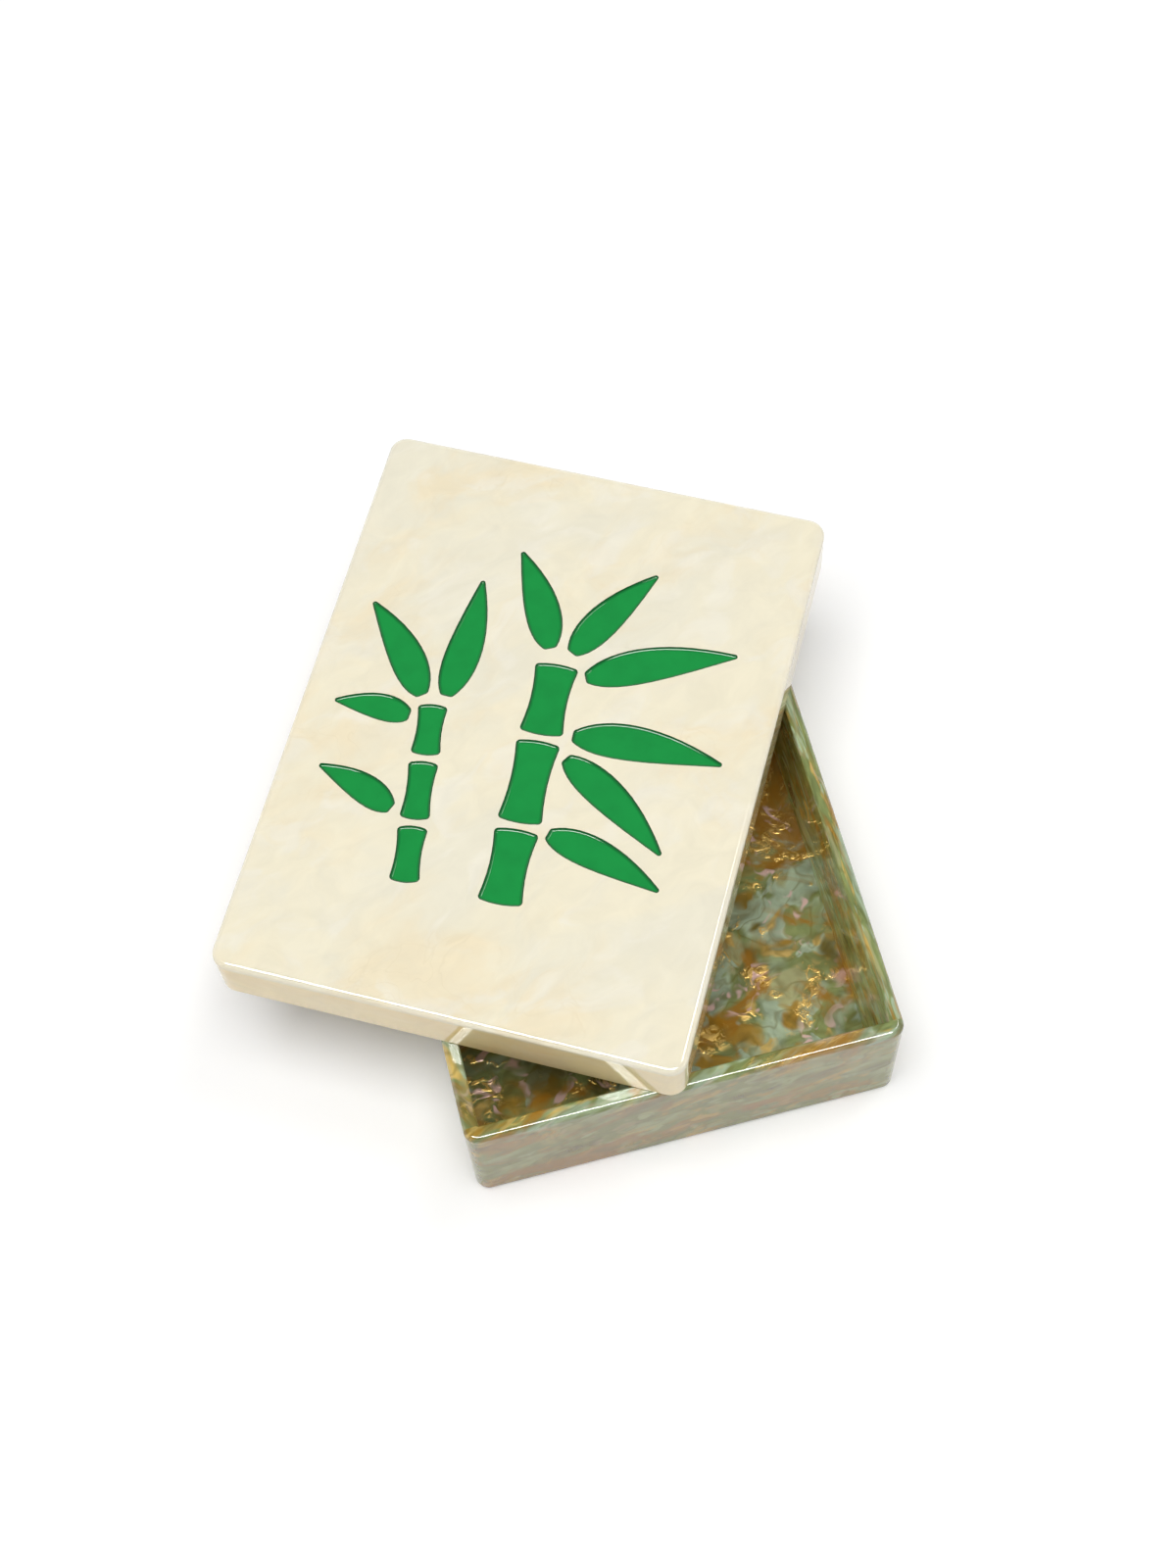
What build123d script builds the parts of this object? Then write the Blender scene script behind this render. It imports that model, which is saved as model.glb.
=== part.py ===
from build123d import *
import os
from math import atan2, cos, radians, sin

os.makedirs("parts", exist_ok=True)

# All lengths are in millimetres. +X is to the right, +Y to the back and +Z up.
# The origin is the centre of the tray's underside.

# Tray
tray_width = 127.0
tray_length = 171.0
tray_height = 46.0
tray_sheet = 4.5
tray_corner_radius = 4.2
tray_rim_round = 1.8
tray_foot_round = 1.6
rim_inner_ease = 0.4

# Lid, a cap whose walls slide down outside the tray
lid_height = 19.0
lid_sheet = 4.5
lid_gap = 0.3
lid_corner_radius = 5.2
lid_top_round = 1.8
lid_foot_ease = 0.4

# The lid lies askew across the tray's rim: its centre from the tray's, and its turn about +Z
lid_offset_x = -17.9
lid_offset_y = 23.8
lid_turn = -29.1

# Inlays poured into pockets in the top plate: level with it at the edge, and dished inside
pocket_depth = 2.0
dish_lip = 0.1
dish_depth = 0.6
dish_slope = 0.6
inlay_corner_radius = 1.3
leaf_tip_radius = 0.8

# Cane sections of the inlaid bamboo: slimmer at the waist, with domed ends
knuckle_flare = 1.2
end_dome = 0.9
joint_space = 1.8

thick_cane_width = 11.0
thick_cane_foot = (6.0, -53.0)
thick_cane_lean = 3.0
thick_cane_sections = (22.0, 25.0, 22.0)

thin_cane_width = 7.5
thin_cane_foot = (-22.0, -53.0)
thin_cane_lean = 8.0
thin_cane_sections = (16.0, 17.0, 15.0)

# Leaves: a blunt root, and a belly shaped by control points at these shares of the length
leaf_root_width = 3.4
leaf_belly = 1.3
leaf_belly_start = 0.15
leaf_belly_end = 0.5

# Each leaf's name, root x, root y, direction in degrees, length, width and sideways bend
leaves = [
    ("leaf_crown_left", -1.5, 28.5, 117.0, 36.0, 10.5, 1.6),
    ("leaf_crown_right", 5.0, 28.5, 62.0, 38.0, 10.5, -1.6),
    ("leaf_upper_right", 11.0, 21.5, 25.0, 47.0, 11.5, -2.2),
    ("leaf_right", 12.3, 2.2, 4.0, 46.0, 11.5, -2.4),
    ("leaf_lower_right", 12.3, -5.2, -32.0, 43.0, 10.5, -2.0),
    ("leaf_foot_right", 13.5, -29.5, -13.0, 38.0, 10.0, -2.0),
    ("leaf_upper_left", -27.0, 6.0, 88.0, 42.0, 10.5, 1.8),
    ("leaf_middle_left", -33.8, 4.6, 128.0, 37.0, 10.5, 2.0),
    ("leaf_left", -35.5, -2.5, 178.0, 24.0, 8.5, 1.4),
    ("leaf_foot_left", -32.0, -32.5, 158.0, 27.0, 9.0, 1.6),
]

# Sizes that follow from the ones above
tray_inner_width = tray_width - 2 * tray_sheet
tray_inner_length = tray_length - 2 * tray_sheet
lid_width = tray_width + 2 * (lid_gap + lid_sheet)
lid_length = tray_length + 2 * (lid_gap + lid_sheet)
lid_inner_width = lid_width - 2 * lid_sheet
lid_inner_length = lid_length - 2 * lid_sheet
lid_skirt_height = lid_height - lid_sheet


def lid_plane(x=0.0, y=0.0, height=0.0, turn=0.0):
    """The plane at a place on the lid, in the lid's own directions, at a height above its lower edge."""
    swing = radians(lid_turn)
    heading = radians(lid_turn + turn)
    origin = (
        lid_offset_x + x * cos(swing) - y * sin(swing),
        lid_offset_y + x * sin(swing) + y * cos(swing),
        tray_height + height,
    )
    return Plane(origin=origin, x_dir=(cos(heading), sin(heading), 0), z_dir=(0, 0, 1))


def finish(piece, name):
    """Labels a finished piece and writes it to its own file."""
    piece.part.label = name
    export_step(piece.part, f"parts/{name}.step")


# Tray shell: the outer form of the five sheets after they are glued and their edges are rounded
with BuildPart() as tray_shell:
    with BuildSketch():
        Rectangle(tray_width, tray_length)
    extrude(amount=tray_height)
    fillet(tray_shell.edges().filter_by(Axis.Z), radius=tray_corner_radius)
    fillet(tray_shell.faces().sort_by(Axis.Z)[-1].edges(), radius=tray_rim_round)
    fillet(tray_shell.faces().sort_by(Axis.Z)[0].edges(), radius=tray_foot_round)
    with BuildSketch():
        Rectangle(tray_inner_width, tray_inner_length)
    extrude(amount=tray_height, mode=Mode.SUBTRACT)
    rim_face = tray_shell.faces().filter_by(Axis.Z).sort_by(Axis.Z)[-1]
    chamfer(rim_face.inner_wires()[0].edges(), length=rim_inner_ease)


def tray_wall(name, x, y, width, length):
    """One upright sheet of the tray, cut from the tray shell."""
    with BuildPart() as wall:
        add(tray_shell.part)
        with BuildSketch():
            with Locations((x, y)):
                Rectangle(width, length)
        extrude(amount=tray_height, mode=Mode.INTERSECT)
    finish(wall, name)


# Front and back walls run the full width, and the side walls stand between them
end_wall_y = (tray_length - tray_sheet) / 2
side_wall_x = (tray_width - tray_sheet) / 2
tray_wall("tray_front_wall", 0, -end_wall_y, tray_width, tray_sheet)
tray_wall("tray_back_wall", 0, end_wall_y, tray_width, tray_sheet)
tray_wall("tray_left_wall", -side_wall_x, 0, tray_sheet, tray_inner_length)
tray_wall("tray_right_wall", side_wall_x, 0, tray_sheet, tray_inner_length)

# Floor, glued in between the four walls, level with their lower edges
with BuildPart() as tray_floor:
    with BuildSketch():
        Rectangle(tray_inner_width, tray_inner_length)
    extrude(amount=tray_sheet)
finish(tray_floor, "tray_floor")

# Lid shell: the outer form of the lid's five sheets, hollow below the top plate
with BuildPart() as lid_shell:
    with BuildSketch(lid_plane()):
        Rectangle(lid_width, lid_length)
    extrude(amount=lid_height)
    fillet(lid_shell.edges().filter_by(Axis.Z), radius=lid_corner_radius)
    fillet(lid_shell.faces().sort_by(Axis.Z)[-1].edges(), radius=lid_top_round)
    with BuildSketch(lid_plane()):
        Rectangle(lid_inner_width, lid_inner_length)
    extrude(amount=lid_skirt_height, mode=Mode.SUBTRACT)
    foot_face = lid_shell.faces().filter_by(Axis.Z).sort_by(Axis.Z)[0]
    chamfer(foot_face.edges(), length=lid_foot_ease)


def lid_wall(name, x, y, width, length):
    """One upright sheet of the lid, cut from the lid shell."""
    with BuildPart() as wall:
        add(lid_shell.part)
        with BuildSketch(lid_plane(x, y)):
            Rectangle(width, length)
        extrude(amount=lid_skirt_height, mode=Mode.INTERSECT)
    finish(wall, name)


lid_end_y = (lid_length - lid_sheet) / 2
lid_side_x = (lid_width - lid_sheet) / 2
lid_wall("lid_front_wall", 0, -lid_end_y, lid_width, lid_sheet)
lid_wall("lid_back_wall", 0, lid_end_y, lid_width, lid_sheet)
lid_wall("lid_left_wall", -lid_side_x, 0, lid_sheet, lid_inner_length)
lid_wall("lid_right_wall", lid_side_x, 0, lid_sheet, lid_inner_length)


def cane_outline(size, grow=0.0):
    """A cane section along X: two shallow hollow sides between domed ends, with eased corners."""
    length, width = size
    end = length / 2 + grow
    waist = width / 2 + grow
    knuckle = knuckle_flare * width / 2 + grow
    with BuildSketch(mode=Mode.PRIVATE) as outline:
        with BuildLine():
            ThreePointArc((-end, knuckle), (0, waist), (end, knuckle))
            ThreePointArc((end, knuckle), (end + end_dome, 0), (end, -knuckle))
            ThreePointArc((end, -knuckle), (0, -waist), (-end, -knuckle))
            ThreePointArc((-end, -knuckle), (-end - end_dome, 0), (-end, knuckle))
        make_face()
        fillet(outline.vertices(), radius=inlay_corner_radius + grow)
    return outline.sketch


def leaf_outline(size, grow=0.0):
    """A leaf along X from a blunt root at the origin to a fine tip, bowed sideways by the bend."""
    length, width, bend = size
    root = leaf_root_width / 2 + grow
    belly = leaf_belly * (width / 2 + grow)
    near = leaf_belly_start * length
    far = leaf_belly_end * length
    tip = length + grow / sin(atan2(belly, length - far))
    with BuildSketch(mode=Mode.PRIVATE) as outline:
        with BuildLine():
            Line((-grow, -root), (-grow, root))
            Bezier((-grow, root), (near, belly), (far, belly - bend), (tip, bend))
            Bezier((tip, bend), (far, -belly - bend), (near, -belly), (-grow, -root))
        make_face()
        fillet(outline.vertices().sort_by(Axis.X)[:2], radius=inlay_corner_radius + grow)
        fillet(outline.vertices().sort_by(Axis.X)[-1], radius=leaf_tip_radius + grow)
    return outline.sketch


# Each inlay's name, its outline function and size, and its place and direction on the lid
inlays = []


def add_cane(name, width, foot, lean, sections):
    """Stacks cane sections from the foot upwards, each a joint space from the last."""
    heading = radians(90 + lean)
    reach = 0.0
    for number, length in enumerate(sections, start=1):
        middle = reach + length / 2
        x = foot[0] + middle * cos(heading)
        y = foot[1] + middle * sin(heading)
        inlays.append((f"{name}_{number}", cane_outline, (length, width), x, y, 90 + lean))
        reach += length + 2 * end_dome + joint_space


add_cane("thick_cane", thick_cane_width, thick_cane_foot, thick_cane_lean, thick_cane_sections)
add_cane("thin_cane", thin_cane_width, thin_cane_foot, thin_cane_lean, thin_cane_sections)
for name, x, y, direction, length, width, bend in leaves:
    inlays.append((name, leaf_outline, (length, width, bend), x, y, direction))

# Top plate, laid over the four walls, with a pocket for each inlay
with BuildPart() as lid_top_plate:
    add(lid_shell.part)
    with BuildSketch(lid_plane(height=lid_skirt_height)):
        Rectangle(lid_width, lid_length)
    extrude(amount=lid_sheet, mode=Mode.INTERSECT)
    for name, outline, size, x, y, direction in inlays:
        with BuildSketch(lid_plane(x, y, lid_height, direction)):
            add(outline(size))
        extrude(amount=-pocket_depth, mode=Mode.SUBTRACT)
finish(lid_top_plate, "lid_top_plate")

# Inlays: each fills its pocket, and its face slopes down from a thin lip to a flat dish
for name, outline, size, x, y, direction in inlays:
    with BuildPart() as inlay:
        with BuildSketch(lid_plane(x, y, lid_height - pocket_depth, direction)):
            add(outline(size))
        extrude(amount=pocket_depth)
        with BuildSketch(lid_plane(x, y, lid_height, direction)):
            add(outline(size, grow=-dish_lip))
        with BuildSketch(lid_plane(x, y, lid_height - dish_depth, direction)):
            add(outline(size, grow=-dish_lip - dish_slope))
        loft(ruled=True, mode=Mode.SUBTRACT)
    finish(inlay, f"inlay_{name}")
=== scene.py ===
from typing import NamedTuple

import bmesh
import bpy
import numpy as np
from bpy.props import FloatProperty, FloatVectorProperty, PointerProperty
from bpy.types import Operator, Panel, PropertyGroup
from mathutils import Euler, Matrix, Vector


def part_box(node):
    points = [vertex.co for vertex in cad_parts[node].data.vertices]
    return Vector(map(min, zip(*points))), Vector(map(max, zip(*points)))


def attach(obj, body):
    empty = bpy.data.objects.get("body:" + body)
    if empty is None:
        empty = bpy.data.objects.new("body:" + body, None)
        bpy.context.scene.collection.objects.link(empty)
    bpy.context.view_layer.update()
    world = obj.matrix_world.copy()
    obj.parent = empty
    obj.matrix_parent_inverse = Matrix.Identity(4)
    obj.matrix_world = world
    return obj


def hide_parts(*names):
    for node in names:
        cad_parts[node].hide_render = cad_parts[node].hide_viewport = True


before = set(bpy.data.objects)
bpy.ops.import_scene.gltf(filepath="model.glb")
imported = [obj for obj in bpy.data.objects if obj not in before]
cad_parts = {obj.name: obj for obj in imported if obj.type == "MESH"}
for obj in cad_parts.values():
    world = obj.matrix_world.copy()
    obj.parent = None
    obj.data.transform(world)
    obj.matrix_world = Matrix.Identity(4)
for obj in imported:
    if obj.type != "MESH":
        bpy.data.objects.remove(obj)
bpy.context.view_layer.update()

bl_info = {
    "name": "Mahjong box",
    "version": (1, 0, 0),
    "blender": (4, 5, 0),
    "location": "3D View > Sidebar > Mahjong box",
    "description": "Dresses the mahjong box: abalone acrylic tray, ivory acrylic lid, green inlays",
    "category": "Object",
}

MM = 0.001


def colour(name, about, value):
    """A colour property, with its plain name, what it is for and its linear red, green and blue."""
    return FloatVectorProperty(
        name=name, description=about, default=value, size=3, min=0.0, max=1.0, subtype="COLOR"
    )


class BoxTraySettings(PropertyGroup):
    """Colours and sizes of the abalone acrylic."""

    sage: colour("Sage", "Dusty green chips", (0.25, 0.31, 0.13))
    mint: colour("Mint", "Pale green chips", (0.42, 0.54, 0.41))
    mist: colour("Mist", "Grey green chips", (0.40, 0.42, 0.23))
    olive: colour("Olive", "Dark olive chips, veins and clouds", (0.16, 0.135, 0.03))
    bronze: colour("Bronze", "Olive brown chips", (0.40, 0.25, 0.045))
    sand: colour("Sand", "Beige chips", (0.62, 0.46, 0.16))
    amber: colour("Amber", "Amber clouds", (0.42, 0.19, 0.012))
    gold: colour("Gold", "Crinkled golden glints", (0.86, 0.60, 0.19))
    pearl: colour("Pearl", "Pink pearly flecks", (0.88, 0.62, 0.63))
    haze: colour("Haze", "What the smooth outer faces fade towards", (0.25, 0.205, 0.05))
    shade: colour("Shade", "Tint of the walls' rim", (0.86, 0.84, 0.72))
    skin: colour("Skin", "Tint of the walls' outer faces", (0.77, 0.66, 0.39))
    pool: colour("Pool", "Tint of the floor", (0.86, 0.82, 0.76))
    # Painted light: the walls' inner faces are brightened by this colour, for light through the sheet
    glow: colour("Glow", "Half the gain of the walls' lit inner faces", (0.88, 0.86, 0.62))
    chip: FloatProperty(
        name="Chip size", description="Width of a large chip", default=13 * MM, unit="LENGTH"
    )
    calm: FloatProperty(
        name="Calm", description="How far the outer faces fade towards the haze", default=0.2
    )


class BoxLidSettings(PropertyGroup):
    """Colours and sizes of the ivory acrylic."""

    cream: colour("Cream", "Main colour of the lid", (0.905, 0.84, 0.645))
    honey: colour("Honey", "Warm clouds", (0.90, 0.785, 0.55))
    smoke: colour("Smoke", "Cool, slightly darker clouds", (0.855, 0.815, 0.665))
    milk: colour("Milk", "Pale veils", (0.91, 0.87, 0.74))
    vein: colour("Vein", "Thin curved veins", (0.80, 0.70, 0.48))
    # Painted shade: the upright faces are multiplied by this, darker and warmer than the top
    tan: colour("Tan", "Tint of the upright faces", (1.0, 0.87, 0.625))
    cloud: FloatProperty(
        name="Cloud size",
        description="Width of a cloud in the ivory",
        default=26 * MM,
        unit="LENGTH",
    )
    grain: FloatProperty(
        name="Grain",
        description="Direction in which the clouds are drawn out",
        default=0.25,
        unit="ROTATION",
    )


class BoxInlaySettings(PropertyGroup):
    """Colours and sizes of the poured green inlays."""

    green: colour("Green", "Inlay green", (0.011, 0.297, 0.058))
    green_edge: colour("Green edge", "Inlay green at its outline", (0.0, 0.055, 0.012))
    dish_depth: FloatProperty(
        name="Dish depth", description="How far its face sinks", default=0.6 * MM, unit="LENGTH"
    )
    dish_width: FloatProperty(
        name="Dish edge", description="Width of its sloping edge", default=1.0 * MM, unit="LENGTH"
    )
    dish_bend: FloatProperty(
        name="Dish bend", description="Power of the slope's curve", default=2.2
    )
    dark_width: FloatProperty(
        name="Dark edge", description="Width of the dark outline", default=1.05 * MM, unit="LENGTH"
    )
    body_depth: FloatProperty(
        name="Body depth", description="Depth of its pocket", default=2.0 * MM, unit="LENGTH"
    )


class BoxStageSettings(PropertyGroup):
    """Camera, lamps and surround."""

    camera_place: FloatVectorProperty(
        name="Camera place",
        description="Where the camera stands",
        default=(-0.05602, -0.28747, 0.67438),
        size=3,
        unit="LENGTH",
        subtype="TRANSLATION",
    )
    camera_turn: FloatVectorProperty(
        name="Camera turn",
        description="Its turn about X, Y and Z",
        default=(0.449993, 0.036962, -0.248151),
        size=3,
        unit="ROTATION",
        subtype="EULER",
    )
    camera_lens: FloatProperty(
        name="Lens", description="Focal length on a 36 mm sensor", default=54.34, unit="CAMERA"
    )
    lamp_height: FloatProperty(
        name="Lamp height",
        description="Height of the lamps over the floor",
        default=2.4,
        unit="LENGTH",
    )
    radiance: FloatProperty(
        name="Lamp radiance", description="Brightness of the lamps' faces; 1 is white", default=8.0
    )
    surround: FloatProperty(
        name="Surround", description="Strength of the even light from all round", default=0.32
    )
    ceiling: FloatProperty(
        name="Ceiling", description="Strength of the dark ceiling seen in gloss", default=0.12
    )


class Feature(NamedTuple):
    """One feature of a pattern: its noise, and how far it covers what lies under it.

    It sets in at the start level of the noise, and has its whole strength from the full level on. Its
    size is in chips on the tray, in clouds on the lid and in metres on the inlays.
    """

    size: float
    start: float = 0.0
    full: float = 1.0
    strength: float = 1.0
    detail: float = 2.0
    roughness: float = 0.5
    distortion: float = 0.0


# The middle of a noise, and the range that most of it keeps to
NOISE_MIDDLE = 0.5
NOISE_RANGE = (0.3, 0.7)


class Abalone:
    """Features of the tray's acrylic.

    The drift pushes the others about, by up to its strength. The relief paints light and shade on the
    chips, lighter where it stands higher, and raises them. The deep is olive clouds. The golden glints
    are crinkles inside flecks, and the pearl is petals inside rosy clouds.
    """

    drift = Feature(size=1.5, strength=0.6, detail=3.0)
    relief = Feature(size=0.33, detail=3.0, distortion=0.6)
    vein = Feature(size=0.9, start=0.03, full=0.0, strength=0.4)
    amber = Feature(
        size=1.5, start=0.53, full=0.65, strength=0.85, detail=5.0, roughness=0.55, distortion=0.8
    )
    deep = Feature(size=0.9, start=0.54, full=0.72, strength=0.75, detail=3.0)
    fleck = Feature(size=0.5, start=0.52, full=0.6)
    crinkle = Feature(
        size=0.15, start=0.45, full=0.6, detail=3.0, roughness=0.6, distortion=1.5
    )
    rosy = Feature(size=1.4, start=0.47, full=0.56, distortion=0.6)
    petal = Feature(size=0.36, start=0.56, full=0.68, detail=1.0, distortion=0.8)


# The tray's chips over the sage, from the lowest layer up, each with its colour, its size and its start
# and full levels, and the roughness of their noises
CHIP_LAYERS = (
    ("mint", 1.1, 0.46, 0.58),
    ("mist", 0.9, 0.52, 0.60),
    ("bronze", 0.8, 0.56, 0.65),
    ("sage", 0.6, 0.53, 0.59),
    ("sand", 0.5, 0.57, 0.66),
    ("mint", 0.45, 0.58, 0.63),
    ("olive", 0.7, 0.60, 0.72),
)
CHIP_ROUGHNESS = 0.45

# How each sheet of the tray is cut from the pattern: its stretch, its turn in radians and its offset
# in metres. The small stretches show the pattern edge-on, in bands or thin streaks
SHEETS = {
    "tray_floor": ((1.3, 1.2, 0.2), (0, 0, 0.3), (0.3, 0.1, 0.0)),
    "tray_front_wall": ((2.6, 0.7, 0.95), (0, -0.25, 0.3), (0.1, 0.4, 0.2)),
    "tray_back_wall": ((2.6, 0.7, 0.95), (0, 0.25, -0.3), (0.5, 0.7, 0.3)),
    "tray_left_wall": ((0.7, 2.2, 1.0), (0.25, 0, 0.45), (0.8, 0.2, 0.6)),
    "tray_right_wall": ((0.35, 2.6, 1.0), (-0.25, 0, 0.05), (0.2, 0.9, 0.5)),
}

# Darkest and brightest painted light and shade of the relief, how far it is evened out on the outer
# faces, and its bump
PAINTED_RELIEF_LIGHT = (0.72, 1.28)
OUTER_EVENNESS = 0.7
BUMP = {"Strength": 0.5, "Distance": 0.8 * MM}

# The levels of the amber's noise between which the golden glints set in, and how metallic they are
NEAR_AMBER = (0.48, 0.55)
GOLD_METAL = 0.7

# How strong the glints are on the walls, and the pearl on the walls and on the floor
GOLD_ON_WALLS = 0.35
PEARL_ON_WALLS = 0.25
PEARL_ON_FLOOR = 0.85

# The gain of the painted light through the sheet on the walls' inner faces, on top of their glow
PAINTED_GLOW_GAIN = 2

# Where the outer face sets in, from the tray's outline and under its rim, and where the inner does
OUTER_FROM_OUTLINE = (-2.4 * MM, -0.8 * MM)
OUTER_UNDER_RIM = (1.6 * MM, 4.0 * MM)
INNER_UNDER_RIM = (0.3 * MM, 1.2 * MM)

# Painted shade on the floor, under the lid: where its back and its left set in. The back raises the
# amber's noise, the left raises it by a share of that, and the left raises the olive's
FLOOR_SHADE_BACK = (-35 * MM, 0.0)
FLOOR_SHADE_LEFT = (-5 * MM, -35 * MM)
PAINTED_SHADE_AMBER_RISE = 0.12
AMBER_ON_LEFT = 0.3
PAINTED_SHADE_OLIVE_RISE = 0.08


class Ivory:
    """Features of the lid's acrylic.

    The drift pushes the others about, by up to its strength. The cool clouds are smoky, the warm ones
    honey and the veils milky. The mottle is a fine light and dark. The veins show in the warm clouds.
    """

    drift = Feature(size=1.0, strength=0.35, detail=3.0)
    cool = Feature(size=1.5, start=0.45, full=0.62, strength=0.75, detail=4.0, distortion=0.6)
    warm = Feature(
        size=1.0, start=0.48, full=0.7, strength=0.8, detail=4.0, roughness=0.55, distortion=0.4
    )
    veil = Feature(size=0.5, start=0.5, full=0.68, strength=0.6, detail=4.0, distortion=0.8)
    mottle = Feature(size=0.28, detail=4.0, roughness=0.6, distortion=0.6)
    vein = Feature(size=0.6, start=0.02, full=0.0, strength=0.4, distortion=1.2)


# The clouds' stretch, the mottle's darkest and brightest light, and where the painted shade of the
# upright faces sets in
CLOUD_STRETCH = (1.5, 1, 1)
MOTTLE_LIGHT = (0.955, 1.025)
SIDE_SHADE_UNDER_TOP = (1.2 * MM, 3.5 * MM)

# The inlays' unevenness, what it leaves of the green, and where and how far their gloss gets duller
UNEVENNESS = Feature(size=6 * MM, start=0.3, full=0.8, detail=3.0)
UNEVEN_GREEN = 0.9
DULL_RIM = (0.6, 0.9)
FACE_GLOSS = 0.5
RIM_GLOSS = 0.08

# Constant sockets of the finishes
WALL_COAT = {
    "Roughness": 0.32,
    "Specular IOR Level": 0.0,
    "Coat Weight": 1.0,
    "Coat Roughness": 0.03,
    "Coat IOR": 1.62,
}
FLOOR_COAT = {**WALL_COAT, "Coat IOR": 1.5}
IVORY_GLOSS = {"Roughness": 0.04, "IOR": 1.75}
GREEN_GLOSS = {"Roughness": 0.04, "IOR": 1.5}

# The inlays' mesh: its places along and across, its drop under the plate's face, the distance at which
# corners merge, and the sharpest angle that is smoothed
INLAY_RUNS = 96
INLAY_LANES = 28
FACE_DROP = 0.01 * MM
MERGE_DISTANCE = 0.001 * MM
SMOOTH_ANGLE = np.radians(40)

# How an inlay's outline is read from its solid: the height of its lowest corners, the decimals that
# tell two corners apart, the power of its middle line, and the square of the shortest run's length
FOOT_HEIGHT = 0.01 * MM
CORNER_DECIMALS = 7
MIDDLE_LINE_POWER = 3
SHORTEST_RUN = 1e-18

# The floor: half its side, its drop under the box, its paint, where it fades into the surround, and
# how much it is lifted towards white where it is seen
FLOOR_HALF = 6.0
FLOOR_DROP = 0.05 * MM
FLOOR_PAINT = (0.9, 0.9, 0.9)
FLOOR_FADE = (0.3, 0.8)
FLOOR_LIFT = 0.12

# Where the dark ceiling sets in, as the upward part of a direction, and the point that the lamps face
CEILING_FADE = (0.3, 0.7)
LAMP_AIM = (0, 0.02, 0.03)


def node(tree, kind, inputs=None, **settings):
    """Adds a node, sets its settings, and sets or links each named or numbered input."""
    made = tree.nodes.new(kind)
    for key, value in settings.items():
        setattr(made, key, value)
    for key, value in (inputs or {}).items():
        if isinstance(value, bpy.types.NodeSocket):
            tree.links.new(value, made.inputs[key])
        else:
            made.inputs[key].default_value = value
    return made


def math(tree, operation, *values):
    """A Math node's result."""
    made = node(tree, "ShaderNodeMath", dict(enumerate(values)), operation=operation)
    return made.outputs[0]


def vector_math(tree, operation, inputs):
    """A Vector Math node's vector."""
    return node(tree, "ShaderNodeVectorMath", inputs, operation=operation).outputs[0]


def smooth_step(tree, value, low, high, top=1.0):
    """0 at low and the top at high, with a smooth change between them; low may be above high."""
    made = node(
        tree,
        "ShaderNodeMapRange",
        {"Value": value, "From Min": low, "From Max": high, "To Max": top},
        interpolation_type="SMOOTHSTEP",
    )
    return made.outputs["Result"]


def rgba(value):
    """A colour with its alpha, or a socket as it is."""
    if isinstance(value, bpy.types.NodeSocket):
        return value
    return (*value, 1.0)


def blend(tree, share, below, above, how="MIX"):
    """The colour below with the colour above laid over it by a share."""
    # A Mix node names its colour sockets like its number sockets, so they are given by their place
    made = node(
        tree,
        "ShaderNodeMix",
        {0: share, 6: rgba(below), 7: rgba(above)},
        data_type="RGBA",
        blend_type=how,
    )
    return made.outputs[2]


def scaled(tree, body, by):
    """A colour or a vector times a number."""
    return vector_math(tree, "SCALE", {0: body, "Scale": by})


def tinted(tree, body, tint, gain=1):
    """A colour times a tint and a gain."""
    return vector_math(tree, "MULTIPLY", {0: body, 1: tuple(gain * part for part in tint)})


def noise(tree, place, feature, unit=1.0):
    """A feature's noise at a place. Its size is in units of so many metres."""
    return node(
        tree,
        "ShaderNodeTexNoise",
        {
            "Vector": place,
            "Scale": 1 / (feature.size * unit),
            "Detail": feature.detail,
            "Roughness": feature.roughness,
            "Distortion": feature.distortion,
        },
    )


def noise_level(tree, place, feature, unit=1.0):
    """The level of a feature's noise at a place, as one number."""
    return noise(tree, place, feature, unit).outputs["Fac"]


def cover(tree, level, feature):
    """How far a feature covers what lies under it, at a level of its noise."""
    return smooth_step(tree, level, feature.start, feature.full, feature.strength)


def covered(tree, place, feature, unit=1.0):
    """How far a feature covers what lies under it, at a place."""
    return cover(tree, noise_level(tree, place, feature, unit), feature)


def veined(tree, place, feature, unit):
    """How far thin veins cover a place.

    They run where the noise crosses its middle, and their start and full levels are distances from it.
    """
    level = noise_level(tree, place, feature, unit)
    distance = math(tree, "ABSOLUTE", math(tree, "SUBTRACT", level, NOISE_MIDDLE))
    return cover(tree, distance, feature)


def shading(tree, level, dark, bright):
    """A light that runs from dark to bright over the usual range of a noise."""
    low, high = NOISE_RANGE
    made = node(
        tree,
        "ShaderNodeMapRange",
        {"Value": level, "From Min": low, "From Max": high, "To Min": dark, "To Max": bright},
    )
    return made.outputs["Result"]


def drifted(tree, place, feature, unit):
    """A place pushed about by a coloured noise, by up to the feature's strength either way."""
    drift = noise(tree, place, feature, unit).outputs["Color"]
    centred = vector_math(tree, "SUBTRACT", {0: drift, 1: (NOISE_MIDDLE,) * 3})
    push = scaled(tree, centred, feature.strength * unit / NOISE_MIDDLE)
    return vector_math(tree, "ADD", {0: place, 1: push})


def own_place(tree, offset=(0, 0, 0), turn=(0, 0, 0), stretch=(1, 1, 1)):
    """Object coordinates, moved, turned and shrunk back, so that a pattern grows by the stretch."""
    source = node(tree, "ShaderNodeTexCoord")
    made = node(
        tree,
        "ShaderNodeMapping",
        {
            "Vector": source.outputs["Object"],
            "Location": offset,
            "Rotation": turn,
            "Scale": stretch,
        },
        vector_type="TEXTURE",
    )
    return made.outputs[0]


def own_axes(tree):
    """Object coordinates as three numbers, in metres."""
    source = node(tree, "ShaderNodeTexCoord")
    return node(tree, "ShaderNodeSeparateXYZ", {0: source.outputs["Object"]}).outputs[:]


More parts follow.
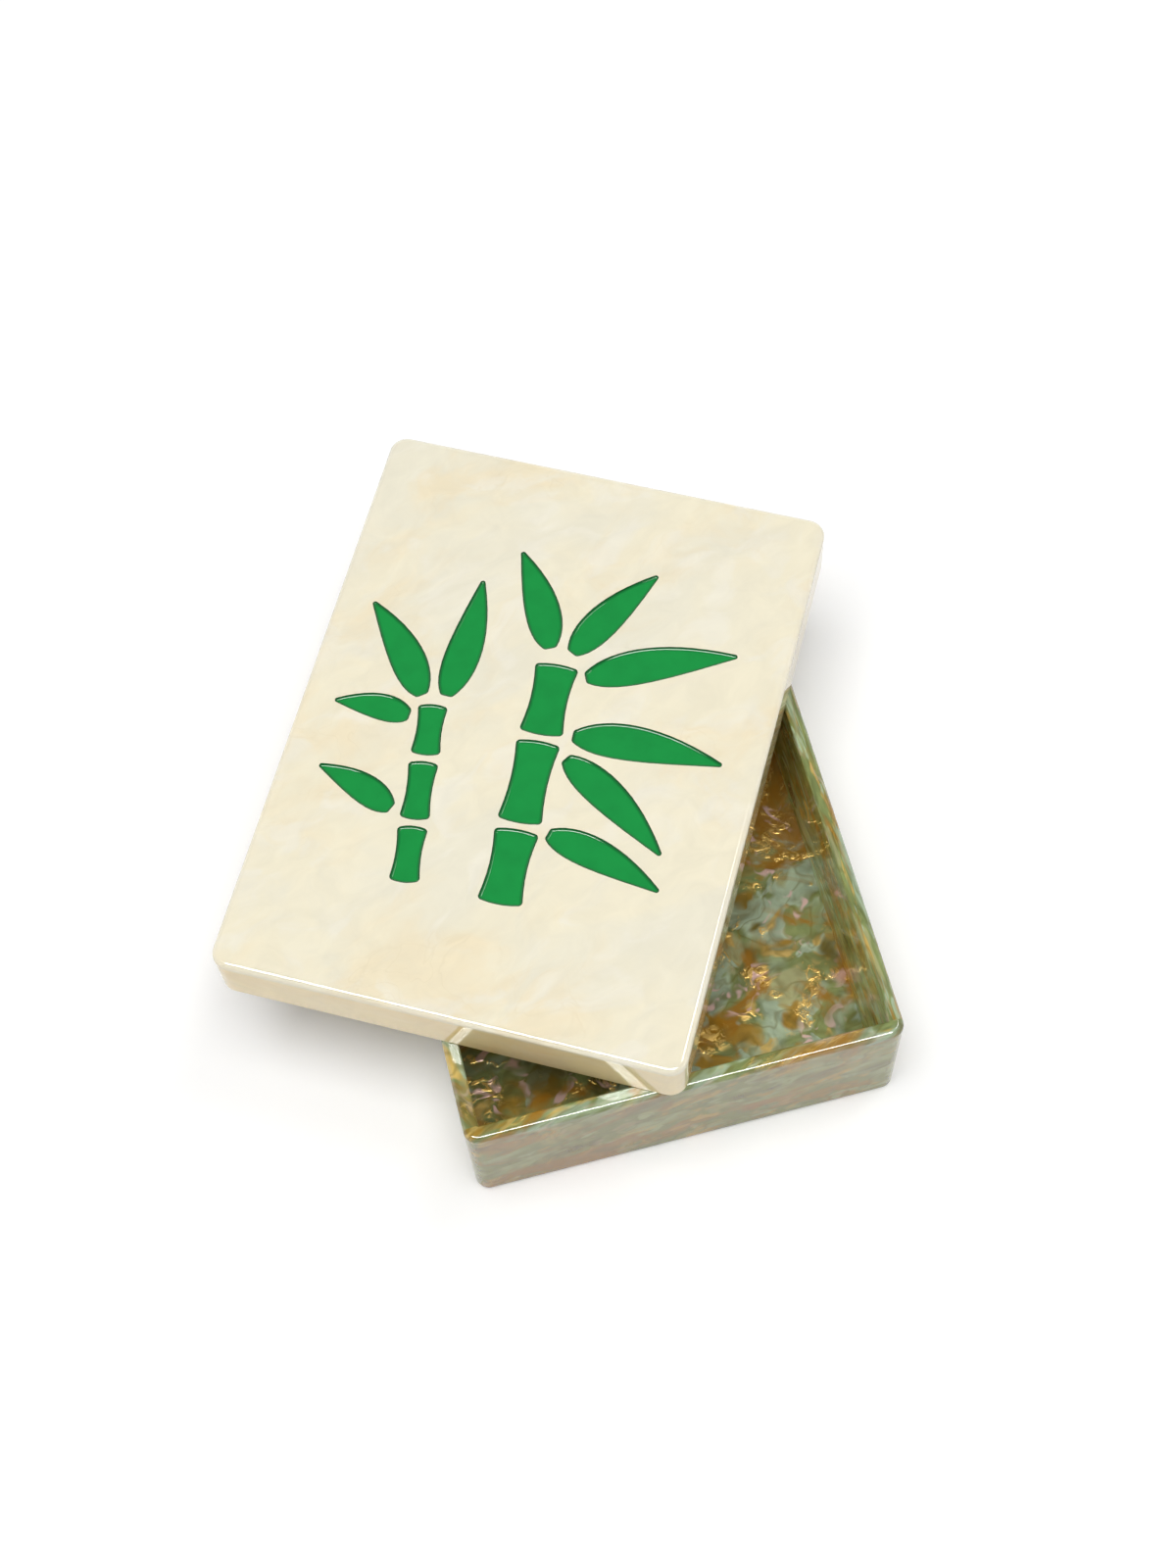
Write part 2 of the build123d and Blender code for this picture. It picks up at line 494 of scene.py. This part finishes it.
def new_material(name, finish):
    """A node material with a Principled shader. The finish gives its constant sockets."""
    material = bpy.data.materials.new(name)
    material.use_nodes = True
    tree = material.node_tree
    tree.nodes.clear()
    output = node(tree, "ShaderNodeOutputMaterial")
    shader = node(tree, "ShaderNodeBsdfPrincipled", finish)
    tree.links.new(shader.outputs[0], output.inputs["Surface"])
    return material, tree, shader


def dress(piece, material):
    """Gives every slot of a piece the material."""
    slots = piece.data.materials
    if not slots:
        slots.append(material)
    for number in range(len(slots)):
        slots[number] = material


def wall_faces(tree):
    """How far a place on a wall belongs to its smooth outer face, and to its inner face."""
    x, y, z = own_axes(tree)
    low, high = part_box("tray_front_wall")
    beyond_x = math(tree, "SUBTRACT", math(tree, "ABSOLUTE", x), high[0])
    beyond_y = math(tree, "SUBTRACT", math(tree, "ABSOLUTE", y), -low[1])
    skin = smooth_step(tree, math(tree, "MAXIMUM", beyond_x, beyond_y), *OUTER_FROM_OUTLINE)
    under_rim = math(tree, "SUBTRACT", high[2], z)
    outer = math(tree, "MULTIPLY", skin, smooth_step(tree, under_rim, *OUTER_UNDER_RIM))
    sunk = smooth_step(tree, under_rim, *INNER_UNDER_RIM)
    inner = math(tree, "MULTIPLY", math(tree, "SUBTRACT", 1.0, skin), sunk)
    return outer, inner


def chip_layers(tree, place, settings):
    """Soft-edged chips, laid over the sage layer by layer."""
    body = settings.sage
    for seed, (shade, size, start, full) in enumerate(CHIP_LAYERS):
        layer = Feature(size=size, start=start, full=full, roughness=CHIP_ROUGHNESS)
        chips = noise(tree, place, layer, settings.chip)
        chips.noise_dimensions = "4D"
        chips.inputs["W"].default_value = seed
        share = cover(tree, chips.outputs["Fac"], layer)
        body = blend(tree, share, body, getattr(settings, shade))
    return body


def painted_shade_floor_levels(tree, cloud, deep):
    """The noises of the floor's amber and olive, raised at its back and on its left as painted shade.
    """
    x, y = own_axes(tree)[:2]
    painted_shade_back = smooth_step(tree, y, *FLOOR_SHADE_BACK)
    painted_shade_left = smooth_step(tree, x, *FLOOR_SHADE_LEFT)
    far = math(tree, "MAXIMUM", painted_shade_back, math(tree, "MULTIPLY", painted_shade_left, AMBER_ON_LEFT))
    raised_cloud = math(tree, "MULTIPLY_ADD", far, PAINTED_SHADE_AMBER_RISE, cloud)
    raised_deep = math(tree, "MULTIPLY_ADD", painted_shade_left, PAINTED_SHADE_OLIVE_RISE, deep)
    return raised_cloud, raised_deep


def golden_glints(tree, place, cloud, chip):
    """The glints' share, and their raised foil: crinkles in flecks that cluster in and near amber."""
    flecks = covered(tree, place, Abalone.fleck, chip)
    cluster = math(tree, "MULTIPLY", smooth_step(tree, cloud, *NEAR_AMBER), flecks)
    crinkle = noise_level(tree, place, Abalone.crinkle, chip)
    share = math(tree, "MULTIPLY", cluster, cover(tree, crinkle, Abalone.crinkle))
    return share, math(tree, "MULTIPLY", crinkle, cluster)


def wall_tints(tree, body, settings, outer, inner):
    """A wall's colour: its rim and calm outer face tinted, and painted light on its inner face."""
    # Painted light: the inner faces are made brighter, for light that comes through the sheet
    painted_lit_through = tinted(tree, body, settings.glow, PAINTED_GLOW_GAIN)
    smooth = blend(tree, settings.calm, tinted(tree, body, settings.skin), settings.haze)
    rim_and_inside = blend(tree, inner, tinted(tree, body, settings.shade), painted_lit_through)
    return blend(tree, outer, rim_and_inside, smooth)


def abalone_acrylic(name, settings, stretch, turn, offset):
    """Shell-like acrylic under a clear coat.

    Soft chips in relief, with painted light and shade of their relief, and olive veins lie lowest.
    Amber clouds, olive clouds, golden glints and pink pearl come over them; on the floor the amber and
    olive grow at its back and left as painted shade. The walls and the floor are then tinted each in
    their own way, and the walls' inner faces get painted light.
    """
    walls = "wall" in name
    material, tree, shader = new_material(name, WALL_COAT if walls else FLOOR_COAT)
    chip = settings.chip
    place = own_place(tree, offset, turn, stretch)
    warped = drifted(tree, place, Abalone.drift, chip)
    relief = noise_level(tree, warped, Abalone.relief, chip)
    # Painted light and shade of the relief: the chips are lighter where the relief stands higher
    light = shading(tree, relief, *PAINTED_RELIEF_LIGHT)
    cloud = noise_level(tree, place, Abalone.amber, chip)
    deep = noise_level(tree, warped, Abalone.deep, chip)
    if walls:
        outer, inner = wall_faces(tree)
        # On the outer faces the painted light and shade of the relief is evened out
        evenness = math(tree, "MULTIPLY", outer, OUTER_EVENNESS)
        light = math(tree, "MULTIPLY_ADD", math(tree, "SUBTRACT", 1.0, light), evenness, light)
    else:
        # Painted shade: the floor turns more amber at its back and more olive on its left, under the
        # lid
        cloud, deep = painted_shade_floor_levels(tree, cloud, deep)

    body = scaled(tree, chip_layers(tree, warped, settings), light)
    body = blend(tree, veined(tree, warped, Abalone.vein, chip), body, settings.olive)
    body = blend(tree, cover(tree, cloud, Abalone.amber), body, settings.amber)
    body = blend(tree, cover(tree, deep, Abalone.deep), body, settings.olive)
    gold, foil = golden_glints(tree, warped, cloud, chip)
    if walls:
        gold = math(tree, "MULTIPLY", gold, GOLD_ON_WALLS)
    body = blend(tree, gold, body, settings.gold)
    petals = covered(tree, warped, Abalone.petal, chip)
    pearl = math(tree, "MULTIPLY", covered(tree, place, Abalone.rosy, chip), petals)
    pearl = math(tree, "MULTIPLY", pearl, PEARL_ON_WALLS if walls else PEARL_ON_FLOOR)
    body = blend(tree, pearl, body, settings.pearl)

    if walls:
        body = wall_tints(tree, body, settings, outer, inner)
        gold = math(tree, "MULTIPLY", gold, math(tree, "SUBTRACT", 1.0, outer))
    else:
        body = tinted(tree, body, settings.pool)
    tree.links.new(body, shader.inputs["Base Color"])
    tree.links.new(math(tree, "MULTIPLY", gold, GOLD_METAL), shader.inputs["Metallic"])
    bump = node(tree, "ShaderNodeBump", {"Height": math(tree, "ADD", foil, relief), **BUMP})
    tree.links.new(bump.outputs[0], shader.inputs["Normal"])
    return material


def ivory_acrylic(name, settings):
    """Pearly ivory: cool, warm and milky clouds with thin veins, and painted shade on the upright
    faces.
    """
    material, tree, shader = new_material(name, IVORY_GLOSS)
    cloud = settings.cloud
    place = own_place(tree, turn=(0, 0, settings.grain), stretch=CLOUD_STRETCH)
    warped = drifted(tree, place, Ivory.drift, cloud)
    body = settings.cream
    body = blend(tree, covered(tree, warped, Ivory.cool, cloud), body, settings.smoke)
    warm = covered(tree, warped, Ivory.warm, cloud)
    body = blend(tree, warm, body, settings.honey)
    body = blend(tree, covered(tree, warped, Ivory.veil, cloud), body, settings.milk)
    mottle = noise_level(tree, warped, Ivory.mottle, cloud)
    body = scaled(tree, body, shading(tree, mottle, *MOTTLE_LIGHT))
    veins = math(tree, "MULTIPLY", veined(tree, warped, Ivory.vein, cloud), warm)
    body = blend(tree, veins, body, settings.vein)
    height = own_axes(tree)[2]
    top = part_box("lid_top_plate")[1][2]
    # Painted shade: the upright faces are darker and warmer than the top
    sides = smooth_step(tree, math(tree, "SUBTRACT", top, height), *SIDE_SHADE_UNDER_TOP)
    body = blend(tree, sides, body, settings.tan, "MULTIPLY")
    tree.links.new(body, shader.inputs["Base Color"])
    return material


def green_acrylic(name, settings):
    """Deep glossy green, a little uneven, and darker and duller along its outline."""
    material, tree, shader = new_material(name, GREEN_GLOSS)
    uneven = covered(tree, own_place(tree), UNEVENNESS)
    darker = tuple(UNEVEN_GREEN * part for part in settings.green)
    body = blend(tree, uneven, settings.green, darker)
    rim = node(tree, "ShaderNodeAttribute", attribute_name="rim").outputs["Fac"]
    body = blend(tree, rim, body, settings.green_edge)
    tree.links.new(body, shader.inputs["Base Color"])
    dull = smooth_step(tree, rim, *DULL_RIM)
    gloss = math(tree, "MULTIPLY_ADD", dull, RIM_GLOSS - FACE_GLOSS, FACE_GLOSS)
    tree.links.new(gloss, shader.inputs["Specular IOR Level"])
    return material


class BOX_OT_tray(Operator):
    """Dresses the tray's five sheets, each cut from another place of the abalone acrylic"""

    bl_idname = "mahjong_box.tray"
    bl_label = "Abalone tray"

    def execute(self, context):
        settings = context.scene.mahjong_box_tray
        for name, (stretch, turn, offset) in SHEETS.items():
            material = abalone_acrylic(f"abalone_{name}", settings, stretch, turn, offset)
            dress(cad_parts[name], material)
        return {"FINISHED"}


class BOX_OT_lid(Operator):
    """Dresses the lid's five sheets in ivory acrylic"""

    bl_idname = "mahjong_box.lid"
    bl_label = "Ivory lid"

    def execute(self, context):
        material = ivory_acrylic("ivory_acrylic", context.scene.mahjong_box_lid)
        for name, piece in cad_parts.items():
            if name.startswith("lid_"):
                dress(piece, material)
        return {"FINISHED"}


def outline_sides(piece):
    """An inlay's outline, from the lowest corners of its solid, as two sides over its long axis.

    The long axis is the direction in which the corners spread most. A cubic fitted to the corners is
    the middle line. The corners on either side of it, with both end corners, are joined by straight
    runs. Gives the centre, the two axes, and each side's places along and across them.
    """
    mesh = piece.data
    places = np.empty(3 * len(mesh.vertices))
    mesh.vertices.foreach_get("co", places)
    places = places.reshape(-1, 3)
    foot = places[:, 2] < places[:, 2].min() + FOOT_HEIGHT
    corners = np.unique(places[foot][:, :2].round(CORNER_DECIMALS), axis=0)
    centre = corners.mean(axis=0)
    axes = np.linalg.svd(corners - centre, full_matrices=False)[2]
    along, across = axes @ (corners - centre).T
    middle = np.polynomial.Polynomial.fit(along, across, MIDDLE_LINE_POWER)
    order = np.argsort(along)
    sides = []
    for chosen in (across < middle(along), across >= middle(along)):
        chosen[order[[0, -1]]] = True
        chain = order[chosen[order]]
        sides.append((along[chain], across[chain]))
    return centre, axes, sides


def inlay_grid(sides):
    """Places over an inlay's face on a grid along and across it, and the closed loop round them.

    Place along: (1 - cos(pi u)) / 2 of the way from end to end. Place across: sin(pi v / 2) of the way
    from the middle to either side of the outline.
    """
    first = sides[0][0][0]
    last = sides[0][0][-1]
    way = (1 - np.cos(np.pi * np.linspace(0, 1, INLAY_RUNS + 1))) / 2
    along = first + (last - first) * way
    lower, upper = (np.interp(along, *side) for side in sides)
    lane = np.sin(np.pi / 2 * np.linspace(-1, 1, INLAY_LANES + 1))
    across = (lower + upper)[:, None] / 2 + (upper - lower)[:, None] / 2 * lane
    grid = np.stack([np.broadcast_to(along[:, None], across.shape), across], axis=-1)
    loop = np.stack([np.append(along, along[::-1]), np.append(lower, upper[::-1])], axis=-1)
    return grid, loop


def distance_to_loop(points, loop):
    """Each point's distance to the nearest straight run of a closed loop."""
    run = np.roll(loop, -1, axis=0) - loop
    length = np.maximum((run**2).sum(axis=-1), SHORTEST_RUN)
    gap = points[:, None] - loop
    share = np.clip((gap * run).sum(axis=-1) / length, 0, 1)
    return np.sqrt(((gap - share[..., None] * run) ** 2).sum(axis=-1)).min(axis=1)


def inlay_faces(shape):
    """The quads of a grid of that shape, its walls down to a loop of foot corners, and the foot."""
    number = np.arange(shape[0] * shape[1]).reshape(shape)
    corners = [number[:-1, :-1], number[1:, :-1], number[1:, 1:], number[:-1, 1:]]
    quads = np.stack(corners, axis=-1).reshape(-1, 4)
    rim = np.append(number[:, 0], number[::-1, -1])
    base = number.size + np.arange(rim.size)
    walls = np.stack([rim, base, np.roll(base, -1), np.roll(rim, -1)], axis=-1)
    return quads.tolist() + walls.tolist() + [base[::-1].tolist()]


def close_up(mesh):
    """Merges a mesh's doubled corners, turns its faces outwards, and smooths all but sharp edges."""
    form = bmesh.new()
    form.from_mesh(mesh)
    bmesh.ops.remove_doubles(form, verts=form.verts, dist=MERGE_DISTANCE)
    bmesh.ops.recalc_face_normals(form, faces=form.faces)
    form.to_mesh(mesh)
    form.free()
    mesh.shade_smooth()
    mesh.set_sharp_from_angle(angle=SMOOTH_ANGLE)


def dished_inlay(name, solid, settings):
    """An inlay with a dished face, level with the plate at its outline, and with walls and a foot.

    Depth of the face: the dish depth times 1 - (1 - d / e) ** p, where d is the distance to the
    outline, e the width of the sloping edge and p the slope's power. The attribute rim runs from 1 at
    the outline to 0 at the dark edge's width inside it.
    """
    centre, axes, sides = outline_sides(solid)
    grid, loop = inlay_grid(sides)
    places = grid.reshape(-1, 2)
    inward = distance_to_loop(places, loop)
    slope = (1 - np.clip(inward / settings.dish_width, 0, 1)) ** settings.dish_bend
    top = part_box("lid_top_plate")[1][2] - FACE_DROP
    height = top - settings.dish_depth * (1 - slope)
    face = np.column_stack([places @ axes + centre, height])
    foot = np.column_stack([loop @ axes + centre, np.full(len(loop), top - settings.body_depth)])
    mesh = bpy.data.meshes.new(name)
    mesh.from_pydata(np.vstack([face, foot]), [], inlay_faces(grid.shape[:2]))
    dark = 1 - np.clip(inward / settings.dark_width, 0, 1)
    rim = mesh.attributes.new("rim", "FLOAT", "POINT")
    rim.data.foreach_set("value", np.append(dark, np.ones(len(foot))).astype(np.float32))
    close_up(mesh)
    piece = bpy.data.objects.new(name, mesh)
    bpy.context.scene.collection.objects.link(piece)
    return piece


class BOX_OT_inlays(Operator):
    """Makes the dished green inlays, each in place of its solid"""

    bl_idname = "mahjong_box.inlays"
    bl_label = "Green inlays"

    def execute(self, context):
        settings = context.scene.mahjong_box_inlays
        material = green_acrylic("green_acrylic", settings)
        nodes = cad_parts.items()
        solids = {name: solid for name, solid in nodes if name.startswith("inlay_")}
        for name, solid in solids.items():
            piece = dished_inlay(f"dished_{name}", solid, settings)
            dress(piece, material)
            dress(solid, material)
            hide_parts(name)
            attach(piece, "lid")
        return {"FINISHED"}


class BOX_OT_stage(Operator):
    """Makes the floor, the lamps, the surround and the camera"""

    bl_idname = "mahjong_box.stage"
    bl_label = "Stage"

    def execute(self, context):
        scene = context.scene
        settings = scene.mahjong_box_stage
        make_floor(scene)
        make_surround(scene, settings)
        key = make_softbox(
            scene, settings, "key_softbox", slant=(-0.06, -0.12), spread=(0.62, 0.46)
        )
        key.visible_glossy = False
        strip = make_softbox(
            scene, settings, "edge_strip", slant=(-0.14, -0.36), spread=(0.9, 0.26), gain=3.0
        )
        strip.visible_diffuse = False
        make_softbox(scene, settings, "side_softbox", slant=(0.37, 0.17), spread=(0.2, 0.2))
        make_camera(scene, settings)
        scene.view_settings.view_transform = "Standard"
        return {"FINISHED"}


def direct_rays(tree):
    """1 for rays from the camera, reflections and refractions, and 0 for diffuse and shadow rays."""
    path = node(tree, "ShaderNodeLightPath").outputs
    seen = math(tree, "MAXIMUM", path["Is Camera Ray"], path["Is Glossy Ray"])
    return math(tree, "MAXIMUM", seen, path["Is Transmission Ray"])


def make_floor(scene):
    """A plain white floor, which keeps the object's shadow and fades into the surround further off."""
    mesh = bpy.data.meshes.new("floor")
    signs = ((-1, -1), (1, -1), (1, 1), (-1, 1))
    corners = [(x * FLOOR_HALF, y * FLOOR_HALF, -FLOOR_DROP) for x, y in signs]
    mesh.from_pydata(corners, [], [(0, 1, 2, 3)])
    floor = bpy.data.objects.new("floor", mesh)
    scene.collection.objects.link(floor)
    material = bpy.data.materials.new("floor_white")
    material.use_nodes = True
    tree = material.node_tree
    tree.nodes.clear()
    seen = direct_rays(tree)
    source = node(tree, "ShaderNodeTexCoord")
    reach = node(tree, "ShaderNodeVectorMath", {0: source.outputs["Object"]}, operation="LENGTH")
    faded = smooth_step(tree, reach.outputs["Value"], *FLOOR_FADE)
    far = math(tree, "MULTIPLY", faded, seen)
    paint = blend(tree, far, FLOOR_PAINT, (0, 0, 0))
    diffuse = node(tree, "ShaderNodeBsdfDiffuse", {"Color": paint})
    lift = math(tree, "MULTIPLY_ADD", seen, FLOOR_LIFT, far)
    glow = node(tree, "ShaderNodeEmission", {"Color": (1, 1, 1, 1), "Strength": lift})
    both = node(tree, "ShaderNodeAddShader", {0: diffuse.outputs[0], 1: glow.outputs[0]})
    node(tree, "ShaderNodeOutputMaterial", {"Surface": both.outputs[0]})
    floor.data.materials.append(material)


def make_surround(scene, settings):
    """Even light from all round. Seen directly it is white, and in gloss its ceiling is dark."""
    world = bpy.data.worlds.new("surround")
    scene.world = world
    world.use_nodes = True
    tree = world.node_tree
    tree.nodes.clear()
    path = node(tree, "ShaderNodeLightPath").outputs
    direction = node(tree, "ShaderNodeTexCoord").outputs["Generated"]
    upward = node(tree, "ShaderNodeSeparateXYZ", {0: direction}).outputs["Z"]
    overhead = smooth_step(tree, upward, *CEILING_FADE, 1 - settings.ceiling)
    mirrored = math(tree, "SUBTRACT", 1.0, overhead)
    glossy = node(
        tree,
        "ShaderNodeMapRange",
        {"Value": path["Is Glossy Ray"], "To Min": settings.surround, "To Max": mirrored},
    )
    plain = math(tree, "MAXIMUM", path["Is Camera Ray"], path["Is Transmission Ray"])
    level = math(tree, "MAXIMUM", glossy.outputs["Result"], plain)
    light = node(tree, "ShaderNodeBackground", {"Color": (1, 1, 1, 1), "Strength": level})
    node(tree, "ShaderNodeOutputWorld", {"Surface": light.outputs[0]})


def make_softbox(scene, settings, name, slant, spread, gain=1.0):
    """A rectangular softbox that faces the object.

    Its place and its two sides are shares of its height, as slant and spread. Its gain is on top of
    the lamps' radiance.
    """
    height = settings.lamp_height
    lamp = bpy.data.lights.new(name, "AREA")
    lamp.shape = "RECTANGLE"
    lamp.size = spread[0] * height
    lamp.size_y = spread[1] * height
    lamp.energy = gain * settings.radiance * np.pi * lamp.size * lamp.size_y
    softbox = bpy.data.objects.new(name, lamp)
    scene.collection.objects.link(softbox)
    softbox.location = (slant[0] * height, slant[1] * height, height)
    aim = Vector(LAMP_AIM) - softbox.location
    softbox.rotation_mode = "QUATERNION"
    softbox.rotation_quaternion = aim.to_track_quat("-Z", "Y")
    softbox.visible_camera = False
    return softbox


def make_camera(scene, settings):
    """The photograph's camera: its place, its turn and its lens."""
    data = bpy.data.cameras.new("camera")
    data.lens = settings.camera_lens
    data.sensor_width = 36.0
    data.clip_start = 0.01
    data.clip_end = 50.0
    camera = bpy.data.objects.new("camera", data)
    scene.collection.objects.link(camera)
    camera.location = settings.camera_place
    camera.rotation_euler = Euler(settings.camera_turn)
    scene.camera = camera


class BOX_PT_panel(Panel):
    """Lists the box's pieces and the stage, with their settings"""

    bl_idname = "BOX_PT_panel"
    bl_label = "Mahjong box"
    bl_space_type = "VIEW_3D"
    bl_region_type = "UI"
    bl_category = "Mahjong box"

    def draw(self, context):
        for operator in OPERATORS:
            self.layout.operator(operator.bl_idname)
        for group in SETTINGS:
            column = self.layout.column()
            settings = getattr(context.scene, group)
            for key in settings.bl_rna.properties.keys():
                if key not in {"rna_type", "name"}:
                    column.prop(settings, key)


OPERATORS = (BOX_OT_tray, BOX_OT_lid, BOX_OT_inlays, BOX_OT_stage)
SETTINGS = {
    "mahjong_box_tray": BoxTraySettings,
    "mahjong_box_lid": BoxLidSettings,
    "mahjong_box_inlays": BoxInlaySettings,
    "mahjong_box_stage": BoxStageSettings,
}


def register():
    """Registers the settings, the operators and the panel."""
    for group, kind in SETTINGS.items():
        bpy.utils.register_class(kind)
        setattr(bpy.types.Scene, group, PointerProperty(type=kind))
    for operator in OPERATORS:
        bpy.utils.register_class(operator)
    bpy.utils.register_class(BOX_PT_panel)


def unregister():
    """Takes the panel, the operators and the settings away again."""
    bpy.utils.unregister_class(BOX_PT_panel)
    for operator in reversed(OPERATORS):
        bpy.utils.unregister_class(operator)
    for group, kind in SETTINGS.items():
        delattr(bpy.types.Scene, group)
        bpy.utils.unregister_class(kind)


def main():
    register()
    for operator in OPERATORS:
        family, name = operator.bl_idname.split(".")
        getattr(getattr(bpy.ops, family), name)()


if __name__ == "__main__":
    main()
